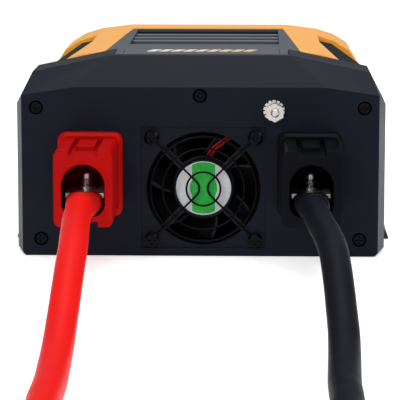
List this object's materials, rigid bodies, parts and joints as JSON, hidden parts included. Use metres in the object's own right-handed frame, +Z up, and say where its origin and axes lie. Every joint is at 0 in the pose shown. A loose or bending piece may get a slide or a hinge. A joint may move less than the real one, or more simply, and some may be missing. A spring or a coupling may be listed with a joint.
{
  "type": "power inverter",
  "caption": "Vehicle power inverter with ribbed tray, moulded hood, guarded fan, covered battery terminals and heavy lugged cables.",
  "frame": {"origin": "middle of the underside, on the surface that the inverter stands on", "axes": "+Y from the battery terminals and fan towards the socket end, along the body; +Z up; +X to the right when facing the battery terminals"},
  "size_m": [0.345, 0.6041, 0.0958],
  "materials": {
    "black_aluminium": "satin black coated aluminium",
    "cap_plastic": "fine textured black plastic",
    "hood_yellow": "smooth yellow orange plastic",
    "insert_grey": "fine textured dark grey plastic",
    "badge_film": "printed gloss film",
    "slat_silver": "silver paint",
    "vent_black": "matt black plastic",
    "fan_black": "black moulded plastic",
    "fan_label_paper": "printed paper",
    "black_wire": "black powder coat",
    "black_screw": "black oxide steel",
    "lead_red": "soft insulation",
    "nickel": "bright nickel plate",
    "red_plastic": "smooth red plastic",
    "terminal_black": "smooth black plastic",
    "tinned_copper": "tinned copper",
    "red_rubber": "soft satin vinyl",
    "black_rubber": "soft satin vinyl",
    "board_green": "lacquered circuit board",
    "steel": "zinc plated steel",
    "ferrite": "dull sintered ferrite",
    "winding": "polyester tape over copper wire",
    "bare_aluminium": "extruded aluminium",
    "epoxy": "moulded epoxy",
    "can_blue": "sleeved aluminium can",
    "choke_wire": "enamelled copper wire on a ring",
    "fuse_orange": "clear tinted plastic",
    "rocker_red": "smooth red plastic",
    "lens_green": "translucent green plastic"
  },
  "bodies": {
    "housing": {"base_tray": "black_aluminium", "dc_end_cap": "cap_plastic", "ac_end_cap": "cap_plastic", "hood_cover": "hood_yellow", "hood_insert": "insert_grey", "name_badge": "badge_film", "louvre_slats": "slat_silver", "left_shoulder_vent": "vent_black", "right_shoulder_vent": "vent_black", "fan_frame": "fan_black", "fan_motor": "fan_black", "fan_label": "fan_label_paper", "fan_guard": "black_wire", "fan_screws": "black_screw", "fan_leads": "lead_red", "dc_panel_screws": "black_screw", "ac_panel_screws": "black_screw", "ground_stud": "nickel", "ground_nut": "nickel", "ground_star_washer": "nickel", "red_terminal_base": "red_plastic", "black_terminal_base": "terminal_black", "terminal_bars": "tinned_copper", "terminal_screws": "nickel", "terminal_washers": "nickel", "red_panel_lug": "tinned_copper", "black_panel_lug": "tinned_copper", "red_lug_boot": "red_rubber", "black_lug_boot": "black_rubber", "red_cable": "red_rubber", "black_cable": "black_rubber", "red_far_lug": "tinned_copper", "black_far_lug": "tinned_copper", "red_far_sleeve": "red_rubber", "black_far_sleeve": "black_rubber", "main_board": "board_green", "board_screws": "steel", "transformer_cores": "ferrite", "transformer_windings": "winding", "cooling_bars": "bare_aluminium", "transistors": "epoxy", "capacitors": "can_blue", "filter_choke": "choke_wire", "input_fuses": "fuse_orange", "outlet_sockets": "terminal_black", "switch_housing": "terminal_black", "usb_port": "steel", "indicator_lenses": "lens_green"},
    "fan_impeller": {"fan_rotor": "fan_black"},
    "red_cover": {"red_terminal_cover": "red_plastic"},
    "black_cover": {"black_terminal_cover": "terminal_black"},
    "rocker": {"power_rocker": "rocker_red"}
  },
  "joints": [
    {"name": "fan_spin", "type": "hinge", "parent": "housing", "child": "fan_impeller", "pos_m": [0.0017, -0.10745, 0.033], "axis": [0, 1, 0], "continuous": true},
    {"name": "red_cover_slide", "type": "slide", "parent": "housing", "child": "red_cover", "axis": [0, -1, 0], "range_m": [0, 0.03]},
    {"name": "black_cover_slide", "type": "slide", "parent": "housing", "child": "black_cover", "axis": [0, -1, 0], "range_m": [0, 0.03]},
    {"name": "power_switch_tip", "type": "hinge", "parent": "housing", "child": "rocker", "pos_m": [-0.05, 0.1065, 0.054], "axis": [1, 0, 0], "range_deg": [0, 14]}
  ]
}
